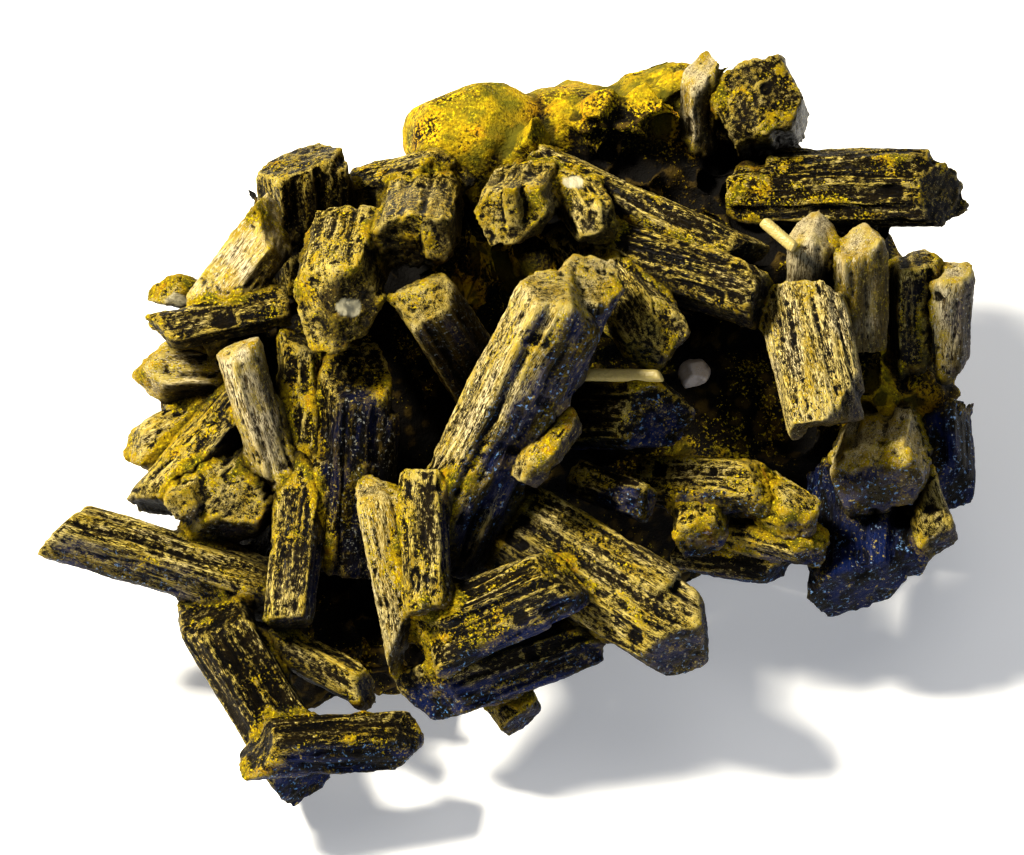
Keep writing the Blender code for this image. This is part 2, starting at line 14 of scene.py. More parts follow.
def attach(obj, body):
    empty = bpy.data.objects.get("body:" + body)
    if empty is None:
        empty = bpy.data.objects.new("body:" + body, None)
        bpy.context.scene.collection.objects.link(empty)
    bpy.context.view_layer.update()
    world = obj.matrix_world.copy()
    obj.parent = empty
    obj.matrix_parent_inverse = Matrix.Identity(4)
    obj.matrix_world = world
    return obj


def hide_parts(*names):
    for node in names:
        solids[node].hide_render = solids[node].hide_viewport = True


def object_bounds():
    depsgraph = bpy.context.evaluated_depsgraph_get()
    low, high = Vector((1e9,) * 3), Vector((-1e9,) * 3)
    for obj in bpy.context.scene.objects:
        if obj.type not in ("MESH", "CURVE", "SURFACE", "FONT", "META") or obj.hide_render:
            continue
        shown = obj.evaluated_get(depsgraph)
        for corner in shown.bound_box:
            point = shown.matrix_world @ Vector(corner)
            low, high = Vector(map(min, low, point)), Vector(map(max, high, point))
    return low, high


MM = 0.001

# Cells of the fine meshes, in millimetres. On a crystal they are longer along it than across it.
CRYSTAL_CELL = 0.20
CRYSTAL_STRETCH = 2.0
ROCK_CELL = 0.46
PALE_CELL = 0.12
DRUSE_COUNT = 4200

# The plane through the middle of the cluster that its display side is seen across.
FACE_LOOKS_UP = math.radians(50)
VIEW_WIDTH = 102.4 * MM
VIEW_DISTANCE = 1.1
AIM = (0.0003, -0.0029, 0.0235)

COLOURS = {
    "near_black": (0.0014, 0.0011, 0.0008),
    "umber": (0.008, 0.005, 0.0012),
    "bronze": (0.062, 0.038, 0.005),
    "tan": (0.25, 0.175, 0.078),
    "straw": (0.50, 0.38, 0.075),
    "cream": (0.74, 0.62, 0.36),
    "mustard": (0.34, 0.215, 0.003),
    "lemon": (0.70, 0.52, 0.006),
    "olive": (0.085, 0.075, 0.004),
    "ochre": (0.33, 0.15, 0.004),
    # Painted blue light on the faces in painted shade, and painted blue glints on them
    "navy_blue_light": (0.0014, 0.0095, 0.066),
    "blue_glint": (0.13, 0.36, 0.78),
    "ivory": (0.40, 0.31, 0.09),
    "quartz": (0.34, 0.29, 0.25),
    "chip": (0.52, 0.47, 0.30),
    "paper": (0.86, 0.86, 0.86),
}


class Look(NamedTuple):
    """How one crystal is finished. Each value runs from 0 to 1."""

    pale: float  # straw and cream lines on the crests of its striations: partly its own paler colour, partly painted highlight
    crust: float  # yellow crust grown over it
    cool: float  # how much painted blue light the faces get that look down and to the right: the rest of their colour is painted black shade


LOOKS = {
    "spear_crystal": Look(0.58, 0.55, 0.9),
    "leaf_crystal": Look(0.55, 0.60, 0.4),
    "prop_crystal": Look(0.50, 0.30, 0.5),
    "shelf_crystal": Look(0.12, 0.25, 0.9),
    "tongue_crystal": Look(0.30, 0.40, 0.3),
    "front_ridge_crystal": Look(0.36, 0.38, 0.7),
    "front_upper_crystal": Look(0.13, 0.52, 0.9),
    "front_lower_crystal": Look(0.16, 0.18, 1.0),
    "fan_left_crystal": Look(0.62, 0.40, 0.3),
    "fan_right_crystal": Look(0.30, 0.50, 0.4),
    "left_block_crystal": Look(0.34, 0.52, 0.0),
    "left_roof_crystal": Look(0.95, 0.48, 0.0),
    "left_blade_crystal": Look(0.80, 0.35, 0.1),
    "column_tall_crystal": Look(0.14, 0.36, 0.3),
    "column_ridged_crystal": Look(0.24, 0.46, 0.1),
    "trunk_crystal": Look(0.30, 0.55, 0.4),
    "druse_head_crystal": Look(0.45, 0.50, 0.3),
    "left_arm_crystal": Look(0.40, 0.28, 0.8),
    "left_diagonal_crystal": Look(0.38, 0.48, 0.2),
    "left_wedge_crystal": Look(0.50, 0.55, 0.1),
    "left_corner_crystal": Look(0.75, 0.65, 0.0),
    "left_slat_crystal": Look(0.16, 0.52, 0.0),
    "left_stub_crystal": Look(0.30, 0.80, 0.5),
    "foot_prism_crystal": Look(0.10, 0.20, 1.0),
    "front_log_crystal": Look(0.08, 0.52, 0.9),
    "hollow_lath_crystal": Look(0.30, 0.45, 0.3),
    "top_post_crystal": Look(0.26, 0.36, 0.0),
    "dome_back_crystal": Look(0.22, 0.34, 0.0),
    "dome_crystal": Look(0.32, 0.38, 0.0),
    "long_upper_crystal": Look(0.28, 0.30, 0.1),
    "long_lower_crystal": Look(0.24, 0.18, 0.2),
    "ragged_crystal": Look(0.36, 0.50, 0.0),
    "ragged_small_crystal": Look(0.38, 0.42, 0.0),
    "top_block_crystal": Look(0.18, 0.30, 0.0),
    "pale_column_crystal": Look(0.85, 0.15, 0.0),
    "beam_crystal": Look(0.12, 0.56, 0.1),
    "pale_left_crystal": Look(0.90, 0.12, 0.0),
    "right_trunk_crystal": Look(0.55, 0.32, 0.2),
    "pale_right_crystal": Look(0.88, 0.30, 0.0),
    "rim_block_crystal": Look(0.20, 0.44, 0.1),
    "rim_cap_crystal": Look(0.75, 0.20, 0.4),
    "knob_crystal": Look(0.78, 0.48, 1.0),
    "leg_left_crystal": Look(0.00, 0.05, 0.8),
    "leg_right_crystal": Look(0.30, 0.12, 0.6),
    "right_flank_crystal": Look(0.04, 0.12, 0.8),
    "mid_bar_crystal": Look(0.34, 0.62, 1.0),
    "mid_oval_crystal": Look(0.40, 0.60, 1.0),
    "mid_brick_crystal": Look(0.30, 0.50, 1.0),
    "mid_tail_crystal": Look(0.36, 0.60, 0.9),
    "mid_peg_crystal": Look(0.25, 0.40, 0.9),
    "mid_under_crystal": Look(0.12, 0.15, 1.0),
    "under_stub_crystal": Look(0.50, 0.45, 0.9),
}

ROCK = "matrix"
CREAM_LATHS = ("cream_lath_upper", "cream_lath_middle")
QUARTZ = "quartz_lump"

# The rock's yellow crown: ovals in the plane of the display side, in millimetres from its middle. Each is
# how far across and up its centre lies, then how far it reaches each way.
CROWN = ((-3.8, 30.0, 10.5, 7.0), (5.5, 33.8, 8.5, 3.0))
# Where the rock between the crystals is mustard and brown, set out in the same way.
MOSSY = ((38.0, 8.0, 10.0, 11.0), (-2.5, 16.0, 7.0, 5.0), (17.0, -4.5, 7.0, 3.5), (13.0, 34.0, 12.5, 7.5))

# Pale chips on single crystals, in millimetres on the display side: how far across and up each one's middle
# lies, and its longer reach.
CHIPS = {
    "left_block_crystal": (-16.2, 11.8, 1.3),
    "left_stub_crystal": (-33.6, 12.8, 0.9),
    "ragged_small_crystal": (6.2, 24.6, 0.9),
}

# Painted shade, black or blue, on parts of single crystals: for each, ovals set out as the crown's are.
PAINTED_SHADE_OVALS = {
    "spear_crystal": (
        (7.5, 8.5, 1.7, 2.6),
        (5.0, 4.4, 2.0, 3.6),
        (2.2, 0.2, 2.4, 3.6),
        (-0.4, -3.6, 2.2, 3.8),
    ),
    "left_block_crystal": ((-16.0, 11.4, 3.0, 4.0),),
    "column_tall_crystal": ((-14.8, -4.5, 4.2, 9.5),),
    "leg_left_crystal": ((34.8, -11.0, 8.0, 9.0),),
    "right_flank_crystal": ((44.6, -2.0, 5.0, 9.0),),
    "knob_crystal": ((37.0, -6.4, 6.0, 2.8),),
    "mid_bar_crystal": ((19.4, -8.8, 4.4, 2.4), (24.0, -8.6, 2.4, 1.6)),
    "mid_peg_crystal": ((11.2, -7.4, 3.2, 1.6),),
    "front_lower_crystal": ((-6.0, -27.5, 5.0, 2.6),),
}

# How deep each kind of relief cuts, in millimetres.
PLUMP = 0.36  # how far a crystal's mesh is first pushed out: its crests and crust end a little past the solid
SWELL_DEPTH = 0.36
LEDGE_DEPTH = 0.16
FIBRE_DEPTH = 0.28
GRIT_DEPTH = 0.12
END_DEPTH = 0.16
CHIP_DEPTH = 0.30
CRUST_HEIGHT = 0.18
SEAM_HEIGHT = 0.45  # more crust where a crystal meets another
SEAM_REACH = 1.6
WORN = 4  # rounds of smoothing that wear the edges of a solid
TIP_REACH = 6.0  # the fibres near an end are short and knotted

# The grid that tells how shut in a point is: the size of its cells in millimetres, and how many cells it
# looks ahead.
GRID = 0.8
LOOK_AHEAD = (2, 5)

# The druse: small prisms, in millimetres. How far they reach grows with how shut in their foot is.
DRUSE_SHUT_IN = 0.25  # no prism stands where the rock is more open than this
DRUSE_LENGTH = 0.4
DRUSE_REACH = 1.7  # what is added where the rock is fully shut in
DRUSE_WIDTH = 0.7
DRUSE_STOUTER = 0.25  # how much wider a prism is for each millimetre of its length
DRUSE_ROOT = 1.0  # how deep its foot is sunk in the rock
DRUSE_FLATNESS = 0.75  # its thickness for its width

# How much crust the rock has: everywhere, in patches, on its crown and where it is mustard.
ROCK_CRUST = 0.32
PATCH_CRUST = 0.75
CROWN_CRUST = 0.42
MOSSY_CRUST = 0.30

# How deep each kind of relief cuts into the rock, in millimetres.
ROCK_SWELL = 0.9
ROCK_LUMPS = 0.5
ROCK_KNOBS = 0.5
ROCK_GRIT = 0.18

# The faces that are painted black or blue as shade look this way.
SHADED_SIDE = np.array((0.62, -0.52, -0.58)) / math.hypot(0.62, 0.52, 0.58)


# ---------------------------------------------------------------- numbers over a surface


def ramp(values, low, high):
    """0 below low, 1 above high, and a smooth rise between them."""
    share = np.clip((values - low) / (high - low), 0, 1)
    return share * share * (3 - 2 * share)


def lattice(cell, seed):
    """One even number from 0 to 1 for each lattice cell."""
    i, j, k = cell.T
    mixed = (i * 73856093) ^ (j * 19349663) ^ (k * 83492791) ^ (seed * 40503)
    mixed = (mixed & 0xFFFFFFFF) * 1274126177 & 0xFFFFFFFF
    mixed = (mixed ^ (mixed >> 15)) * 668265263 & 0xFFFFFFFF
    return ((mixed ^ (mixed >> 13)) & 0xFFFF) / 0xFFFF


def clouds(points, cell, seed):
    """Smooth noise from 0 to 1 in blobs about one cell across. A cell is one size, or one for each axis."""
    scaled = points / np.asarray(cell, float)
    base = np.floor(scaled).astype(np.int64)
    share = scaled - base
    share = share * share * (3 - 2 * share)
    total = np.zeros(len(points))
    for corner in itertools.product((0, 1), repeat=3):
        weight = np.prod(np.where(corner, share, 1 - share), axis=1)
        total += weight * lattice(base + corner, seed)
    return total


def grains(points, cell, seed):
    """Rounded grains one cell across: 1 on their crowns, near 0 in the joints between them."""
    scaled = points / cell
    base = np.floor(scaled).astype(np.int64)
    nearest = np.full(len(points), 9.0)
    for step in itertools.product((-1, 0, 1), repeat=3):
        corner = base + step
        spread = np.stack([lattice(corner, seed + n) for n in range(3)], axis=1)
        nearest = np.minimum(nearest, ((scaled - corner - spread) ** 2).sum(1))
    return np.clip(1 - np.sqrt(nearest), 0, 1)


def crests(points, cell, seed):
    """Thin wandering crests about one cell apart: 1 along a crest, 0 between two."""
    return 1 - np.clip(np.abs(clouds(points, cell, seed) - 0.5) / 0.25, 0, 1)


def coordinates(mesh):
    points = np.empty(len(mesh.vertices) * 3)
    mesh.vertices.foreach_get("co", points)
    return points.reshape(-1, 3)


def normals_of(mesh):
    normals = np.empty(len(mesh.vertices) * 3)
    mesh.vertices.foreach_get("normal", normals)
    return normals.reshape(-1, 3)


def edges_of(mesh):
    edges = np.empty(len(mesh.edges) * 2, np.int32)
    mesh.edges.foreach_get("vertices", edges)
    return edges.reshape(-1, 2)


def reshape(mesh, points):
    mesh.vertices.foreach_set("co", points.ravel())
    mesh.update()


def neighbour_mean(values, edges):
    """Each point's value drawn level with those at the other ends of its edges."""
    first, second = edges.T
    count = np.bincount(edges.ravel(), minlength=len(values))
    columns = []
    for column in values.T:
        onward = np.bincount(first, column[second], len(values))
        back = np.bincount(second, column[first], len(values))
        columns.append((column + (onward + back)) / (1 + count))
    return np.stack(columns, axis=1)


def proud(points, normals, edges, rounds):
    """How far each point stands above the mean of what is round it."""
    level = points
    for _ in range(rounds):
        level = neighbour_mean(level, edges)
    return ((points - level) * normals).sum(1)


def keep(mesh, name, values):
    """Stores one number for each point, for the materials to read."""
    layer = mesh.attributes.new(name, "FLOAT", "POINT")
    layer.data.foreach_set("value", np.asarray(values, np.float32))


# ---------------------------------------------------------------- fine meshes over the solids


def lengthwise(solid):
    """The direction that a crystal grew in: the one that most of its edge length follows."""
    points = coordinates(solid)
    runs = np.diff(points[edges_of(solid)], axis=1)[:, 0]
    lengths = np.linalg.norm(runs, axis=1)
    runs, lengths = runs[lengths > 0.2 * MM], lengths[lengths > 0.2 * MM]
    directions = runs / lengths[:, None]
    longest = directions[np.argsort(lengths)[-30:]]
    agree = np.abs(directions @ longest.T) > math.cos(math.radians(3))
    best = longest[(agree * lengths[:, None] ** 1.5).sum(0).argmax()]
    along = directions @ best
    chosen = np.abs(along) > math.cos(math.radians(3))
    mean = (directions * (np.sign(along) * lengths)[:, None])[chosen].sum(0)
    return Vector(mean).normalized()


def crystal_turn(solid):
    """The rotation that stands local Z along the crystal."""
    return Vector((0, 0, 1)).rotation_difference(lengthwise(solid)).to_matrix()


def remeshed(solid, turn, cell, stretch, extra=None):
    """A closed mesh of small cells over a solid and what grows on it, in millimetres, in the turned frame."""
    source = solid.copy()
    source.transform(Matrix.Scale(1 / MM, 4) @ turn.to_4x4().inverted())
    if extra is not None:
        extra.from_mesh(source)
        extra.to_mesh(source)
        extra.free()
    source.transform(Matrix.Diagonal((1, 1, 1 / stretch, 1)))
    rough = bpy.data.objects.new("rough", source)
    bpy.context.scene.collection.objects.link(rough)
    fine = rough.modifiers.new("fine", "REMESH")
    fine.mode = "VOXEL"
    fine.voxel_size = cell
    evaluated = rough.evaluated_get(bpy.context.evaluated_depsgraph_get())
    mesh = bpy.data.meshes.new_from_object(evaluated)
    bpy.data.objects.remove(rough)
    bpy.data.meshes.remove(source)
    if "custom_normal" in mesh.attributes:
        mesh.attributes.remove(mesh.attributes["custom_normal"])
    mesh.materials.clear()
    reshape(mesh, coordinates(mesh) * (1, 1, stretch))
    return mesh


def search_tree(solids, but=None):
    """A search tree of the solids, in metres, with one left out."""
    points, faces = [], []
    for name, solid in solids.items():
        if name != but:
            start = len(points)
            points += [v.co.copy() for v in solid.data.vertices]
            faces += [[start + corner for corner in face.vertices] for face in solid.data.polygons]
    return BVHTree.FromPolygons(points, faces)


def seam_share(places, tree):
    """1 where a point touches another piece, falling to 0 at SEAM_REACH from it."""
    reach = SEAM_REACH * MM
    share = np.zeros(len(places))
    for n, place in enumerate(places):
        distance = tree.find_nearest(place, reach)[3]
        if distance is not None:
            share[n] = 1 - distance / reach
    return share


def filled_cells(tree):
    """A grid of cells over the cluster: 1 inside a solid, 0 outside, found by a ray up each column."""
    size = [int(n) for n in np.ceil((BOX_HIGH - BOX_LOW) / (GRID * MM))]
    filled = np.zeros(size)
    for i, j in itertools.product(range(size[0]), range(size[1])):
        x, y = BOX_LOW[:2] + (np.array([i, j]) + 0.5) * GRID * MM
        z, depth, entry = BOX_LOW[2] - MM, 0, 0
        while True:
            hit, normal, _, _ = tree.ray_cast(Vector((x, y, z)), Vector((0, 0, 1)))
            if hit is None:
                break
            level = round((hit.z - BOX_LOW[2]) / (GRID * MM))
            if normal.z < 0:
                entry = level if depth == 0 else entry
                depth += 1
            else:
                depth -= 1
                if depth == 0:
                    filled[i, j, entry:level] = 1
            z = hit.z + 0.01 * MM
    return filled


def blurred(grid, reach):
    """The mean of each cell's surroundings, reach cells each way, taken twice for a soft edge."""
    width = 2 * reach + 1
    for _ in range(2):
        for axis in range(3):
            ends = [(reach + 1, reach) if a == axis else (0, 0) for a in range(3)]
            total = np.cumsum(np.pad(grid, ends), axis)
            after = np.take(total, range(width, total.shape[axis]), axis)
            before = np.take(total, range(total.shape[axis] - width), axis)
            grid = (after - before) / width
    return grid


def crowding(places, normals, room):
    """How much of the space in front of each point is taken up by solids, from 0 to 1."""
    taken = np.zeros(len(places))
    for reach, grid in room.items():
        ahead = places + normals * (reach * GRID * MM)
        cell = np.floor((ahead - BOX_LOW) / (GRID * MM)).astype(int)
        inside = ((cell >= 0) & (cell < grid.shape)).all(1)
        cell = np.clip(cell, 0, np.array(grid.shape) - 1)
        taken += inside * grid[tuple(cell.T)] / len(room)
    return taken


def crystal_relief(points, normals, seam, look, seed):
    """(height over the solid, share of crust) at each point of a crystal whose length is along local Z."""
    ends = ramp(np.abs(normals[:, 2]), 0.50, 0.85)
    to_end = np.minimum(points[:, 2] - points[:, 2].min(), points[:, 2].max() - points[:, 2])
    tips = ramp(to_end + 3 * clouds(points, 2.5, seed + 5), TIP_REACH, TIP_REACH / 3)
    sway = np.stack([clouds(points, (3, 3, 6), seed + n) - 0.5 for n in (11, 12, 13)], axis=1)
    swayed = points + 1.3 * sway
    laths = clouds(points, (1.9, 1.9, 11), seed) * 4
    stair = np.floor(laths) + ramp(laths - np.floor(laths), 0.30, 0.70)
    long_fibres = 0.55 * crests(swayed, (1.0, 1.0, 11), seed + 1)
    long_fibres = long_fibres + 0.45 * crests(swayed, (0.6, 0.6, 6), seed + 2)
    knots = 0.6 * crests(swayed, (0.95, 0.95, 1.3), seed + 3) + 0.4 * grains(points, 0.55, seed + 4)
    fibres = long_fibres + (knots - long_fibres) * np.maximum(tips, ends)
    swell = clouds(points, (3.0, 3.0, 7), seed + 6)
    grit = grains(points, 0.55, seed + 7)
    chips = ramp(clouds(points, (2.2, 2.2, 3.0), seed + 8), 0.74, 0.90)
    patches = 0.5 * clouds(points, (2.4, 2.4, 4.5), seed + 9)
    patches = patches + 0.5 * clouds(points, (1.0, 1.0, 1.6), seed + 10)
    crust = patches + 0.60 * seam + 0.06 * ends + 0.06 * tips + 0.42 * look.crust
    thick = ramp(crust, 0.84, 1.05)
    height = PLUMP - SWELL_DEPTH * (1 - swell) - CHIP_DEPTH * chips - GRIT_DEPTH * (1 - grit)
    height -= (1 - ends) * LEDGE_DEPTH * np.clip(1 - stair / 3.2, 0, 1)
    height -= (FIBRE_DEPTH + (END_DEPTH - FIBRE_DEPTH) * ends) * (1 - fibres) * (1 - 0.6 * thick)
    height += thick * (CRUST_HEIGHT + SEAM_HEIGHT * ramp(seam, 0.4, 0.9)) * (0.3 + 0.7 * grit)
    return height, crust


def dress_crystal(name, solid, look, others, room, seed):
    """A striated, crusted mesh over one crystal."""
    turn = crystal_turn(solid.data)
    mesh = remeshed(solid.data, turn, CRYSTAL_CELL, CRYSTAL_STRETCH)
    worn(mesh, WORN)
    points, normals = coordinates(mesh), normals_of(mesh)
    spin = np.array(turn)
    places = points @ spin.T * MM
    seam = seam_share(places, others)
    height, crust = crystal_relief(points, normals, seam, look, seed)
    wandering = (points + 1.2 * (clouds(points, 1.5, seed + 14) - 0.5)[:, None]) @ spin.T
    # Painted shade, black or blue, inside this crystal's ovals
    painted_shade = oval_share(wandering, PAINTED_SHADE_OVALS.get(name, ()))
    finish_mesh(mesh, points + normals * height[:, None], spin, crust, look, room, painted_shade)
    keep(mesh, "chip", chip_share(coordinates(mesh) / MM, CHIPS.get(name)))
    return place(name, mesh)


def chip_share(points, chip):
    """1 inside a pale chip, 0 outside it. A crystal without one is 0 all over."""
    if chip is None:
        return np.zeros(len(points))
    across, up = on_display_side(points)
    middle, height, reach = chip
    wander = clouds(points, 0.6, 5) - 0.5
    return 1 - ramp(np.hypot(across - middle, 1.5 * (up - height)) + 0.7 * wander, reach - 0.1, reach + 0.1)


def dress_pale(name, solid, depth, seed):
    """A rounded, slightly lumpy mesh over a lath or a lump of pale mineral."""
    turn = crystal_turn(solid.data)
    mesh = remeshed(solid.data, turn, PALE_CELL, 1)
    worn(mesh, 4 * WORN)
    points, normals = coordinates(mesh), normals_of(mesh)
    height = -depth * (1 - clouds(points, (1.0, 1.0, 1.8), seed))
    height = height - 0.3 * depth * (1 - grains(points, 0.5, seed + 1))
    points = points + normals * (height + 0.6 * depth)[:, None]
    reshape(mesh, np.clip(points @ np.array(turn).T * MM, BOX_LOW, BOX_HIGH))
    mesh.polygons.foreach_set("use_smooth", np.ones(len(mesh.polygons), bool))
    return place(name, mesh)


def worn(mesh, rounds):
    """Wears the edges of a fine mesh round."""
    points, edges = coordinates(mesh), edges_of(mesh)
    for _ in range(rounds):
        points = neighbour_mean(points, edges)
    reshape(mesh, points)


def finish_mesh(mesh, points, spin, crust, look, room, painted_shade):
    """Stands a piece in its place, inside the solids' box, and stores what its material reads.

    Painted shade is the share, at each point, that is painted black or blue as shade whichever way it faces."""
    places = np.clip(points @ spin.T * MM, BOX_LOW, BOX_HIGH)
    reshape(mesh, places)
    normals, edges = normals_of(mesh), edges_of(mesh)
    # How crowded the space ahead of each point is, kept for painted shade in the hollows
    hollow_shade, facing = crowding(places, normals, room)[:, None], normals
    for _ in range(8):
        hollow_shade, facing = neighbour_mean(hollow_shade, edges), neighbour_mean(facing, edges)
    for _ in range(10):
        facing = neighbour_mean(facing, edges)
    facing /= np.linalg.norm(facing, axis=1)[:, None]
    # The relief, for painted highlight on crests and painted shade in furrows
    keep(mesh, "fine_relief", 0.5 + 5.0 * proud(places / MM, normals, edges, 3))
    keep(mesh, "broad_relief", 0.5 + 1.4 * proud(places / MM, normals, edges, 14))
    keep(mesh, "crust", crust)
    keep(mesh, "hollow_shade", hollow_shade[:, 0])
    keep(mesh, "pale", np.full(len(places), look.pale))
    # Painted shade on the faces that look down and to the right, and in the crystal's ovals
    keep(mesh, "shaded", np.maximum(ramp(facing @ SHADED_SIDE, 0.02, 0.50), painted_shade))
    keep(mesh, "cool", np.full(len(places), look.cool))
    grown = mesh.attributes.new("grown", "FLOAT_VECTOR", "POINT")
    grown.data.foreach_set("vector", (places @ spin).astype(np.float32).ravel())
    mesh.polygons.foreach_set("use_smooth", np.ones(len(mesh.polygons), bool))


def place(name, mesh):
    """The finished piece, in place of its solid."""
    piece = bpy.data.objects.new(name + "_surface", mesh)
    bpy.context.scene.collection.objects.link(piece)
    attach(piece, "root")
    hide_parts(name)
    return piece


# ---------------------------------------------------------------- rock


def rock_relief(points, seed):
    """(height over the solid, patchiness from 0 to 1) at each point of the rock."""
    swell = clouds(points, 4.2, seed)
    lumps = clouds(points, 1.9, seed + 1)
    knobs = grains(points, 2.0, seed + 2)
    grit = grains(points, 0.9, seed + 5)
    height = -ROCK_SWELL * (1 - swell) - ROCK_LUMPS * (1 - lumps)
    height = height - ROCK_KNOBS * (1 - knobs) - ROCK_GRIT * (1 - grit)
    return height, 0.6 * clouds(points, 5.0, seed + 8) + 0.4 * clouds(points, 1.6, seed + 9)


def on_display_side(points):
    """(across, up) of each point, in millimetres from the middle of the display side."""
    rise = np.array([0, math.sin(FACE_LOOKS_UP), math.cos(FACE_LOOKS_UP)])
    centred = points - np.array(AIM) / MM
    return centred[:, 0], centred @ rise


def oval_share(points, ovals):
    """1 within the ovals, 0 well away from them. Points are in millimetres, in the specimen's own frame."""
    across, up = on_display_side(points)
    share = np.zeros(len(points))
    for middle, height, wide, tall in ovals:
        distance = np.hypot((across - middle) / wide, (up - height) / tall)
        share = np.maximum(share, 1 - ramp(distance, 0.80, 1.15))
    return share


def dress_rock(solid, everything, room, seed):
    """The lumpy matrix, with its bright crown at the back left, bristling with small crystals elsewhere."""
    mesh = remeshed(solid.data, Matrix.Identity(3), ROCK_CELL, 1, druse(solid.data, everything, room, seed))
    points, normals, edges = coordinates(mesh), normals_of(mesh), edges_of(mesh)
    for _ in range(8):
        normals = neighbour_mean(normals, edges)
    normals /= np.maximum(np.linalg.norm(normals, axis=1), 0.3)[:, None]
    height, patches = rock_relief(points, seed)
    wandering = points + 1.6 * (clouds(points, 2.2, seed + 6) - 0.5)[:, None]
    crown = oval_share(wandering, CROWN)
    mossy = oval_share(wandering, MOSSY)
    crust = ROCK_CRUST + PATCH_CRUST * patches + CROWN_CRUST * crown + MOSSY_CRUST * mossy * (1 - crown)
    points = points + normals * (height * (1 - 0.6 * crown))[:, None]
    finish_mesh(mesh, points, np.eye(3), crust, Look(0.35, 0.5, 0.3), room, np.zeros(len(points)))
    return place(ROCK, mesh)


def druse(solid, everything, room, seed):
    """Small prisms, in millimetres, that stand out of the rock in its hollows: the deeper, the longer."""
    rng = np.random.default_rng(seed)
    made = bmesh.new()
    faces = list(solid.polygons)
    areas = np.array([face.area for face in faces])
    for face in rng.choice(len(faces), DRUSE_COUNT, p=areas / areas.sum()):
        corners = [solid.vertices[v].co for v in faces[face].vertices]
        share = rng.dirichlet(np.ones(len(corners)))
        foot = sum((corner * float(weight) for corner, weight in zip(corners, share)), Vector())
        normal = faces[face].normal
        shut_in = ramp(crowding(np.array([foot + normal * MM]), np.array([normal]), room)[0], 0.10, 0.40)
        way = (normal + Vector(rng.normal(0, 0.6, 3))).normalized()
        length = float(rng.uniform(0.7, 1.3) * (DRUSE_LENGTH + DRUSE_REACH * shut_in))
        ahead = everything.ray_cast(foot + normal * (0.05 * MM), way, length * MM)[3]
        on_crown = oval_share(np.array([foot / MM]), CROWN)[0] > 0.3
        if ahead is not None or shut_in < DRUSE_SHUT_IN or on_crown:
            continue
        width = float(rng.uniform(0.9, 1.4) * (DRUSE_WIDTH + DRUSE_STOUTER * length))
        small_prism(made, foot / MM, way, width, length, rng)
    return made


def small_prism(made, foot, way, width, length, rng):
    """A six-sided crystal with a slanted end, its foot sunk in the rock."""
    turn = way.to_track_quat("Z", "Y").to_matrix()
    rings = []
    for height, slant in ((-DRUSE_ROOT, 0.0), (length, float(rng.uniform(0.2, 0.9)))):
        ring = []
        for side in range(6):
            angle = math.tau * side / 6
            x, y = width * math.cos(angle), DRUSE_FLATNESS * width * math.sin(angle)
            ring.append(made.verts.new(foot + turn @ Vector((x, y, height - slant * x))))
        rings.append(ring)
    for side in range(6):
        after = (side + 1) % 6
        made.faces.new((rings[0][side], rings[0][after], rings[1][after], rings[1][side]))
    made.faces.new(rings[1])
    made.faces.new(rings[0][::-1])


# ---------------------------------------------------------------- shader parts


class Tree:
    """A node tree with short ways to add nodes and join sockets."""

    def __init__(self, tree):
        self.tree = tree

    def add(self, kind, **settings):
        made = self.tree.nodes.new("ShaderNode" + kind)
        for key, value in settings.items():
            setattr(made, key, value)
        return made

    def join(self, source, target):
        if isinstance(source, bpy.types.NodeSocket):
            self.tree.links.new(source, target)
        else:
            target.default_value = source
        return target

    def math(self, operation, first, second=0.5):
        made = self.add("Math", operation=operation)
        self.join(first, made.inputs[0])
        self.join(second, made.inputs[1])
        return made.outputs[0]

    def rise(self, value, low, high, to_low=0.0, to_high=1.0):
        made = self.add("MapRange", interpolation_type="SMOOTHSTEP")
        ends = {"From Min": low, "From Max": high, "To Min": to_low, "To Max": to_high}
        for label, source in {"Value": value, **ends}.items():
            self.join(source, made.inputs[label])
        return made.outputs["Result"]

    def blend(self, share, first, second, kind="MIX"):
        made = self.add("Mix", data_type="RGBA", blend_type=kind)
        self.join(share, made.inputs["Factor"])
        self.join(paint(first), made.inputs["A"])
        self.join(paint(second), made.inputs["B"])
        return made.outputs["Result"]

    def noise(self, vector, scale, detail=3.0, roughness=0.6, sway=0.0):
        made = self.add("TexNoise")
        values = {"Vector": vector, "Scale": scale, "Detail": detail, "Roughness": roughness}
        for label, source in {**values, "Distortion": sway}.items():
            self.join(source, made.inputs[label])
        return made.outputs["Fac"]

    def stored(self, name, output="Fac"):
        return self.add("Attribute", attribute_name=name).outputs[output]

    def use(self, group, **values):
        made = self.add("Group", node_tree=group)
        for label, value in values.items():
            self.join(value, made.inputs[label.replace("_", " ")])
        return made.outputs


def paint(colour):
    """A named colour as a socket value. A socket passes through."""
    return (*COLOURS[colour], 1) if isinstance(colour, str) else colour


def shader_group(name, inputs, outputs):
    """(tree, its input sockets, its output sockets)"""
    tree = bpy.data.node_groups.new(name, "ShaderNodeTree")
    for label, kind, value in inputs:
        socket = tree.interface.new_socket(label, in_out="INPUT", socket_type="NodeSocket" + kind)
        if value is not None:
            socket.default_value = paint(value)
    for label, kind in outputs:
        tree.interface.new_socket(label, in_out="OUTPUT", socket_type="NodeSocket" + kind)
    return Tree(tree), tree.nodes.new("NodeGroupInput").outputs, tree.nodes.new("NodeGroupOutput").inputs


def scaled_vector(tree, vector, x, y, z):
    """The vector counted in cells of these sizes."""
    cell = tree.add("CombineXYZ")
    for axis, size in zip("XYZ", (x, y, z)):
        tree.join(size, cell.inputs[axis])
    scaled = tree.add("VectorMath", operation="DIVIDE")
    tree.join(vector, scaled.inputs[0])
    tree.join(cell.outputs[0], scaled.inputs[1])
    return scaled.outputs[0]


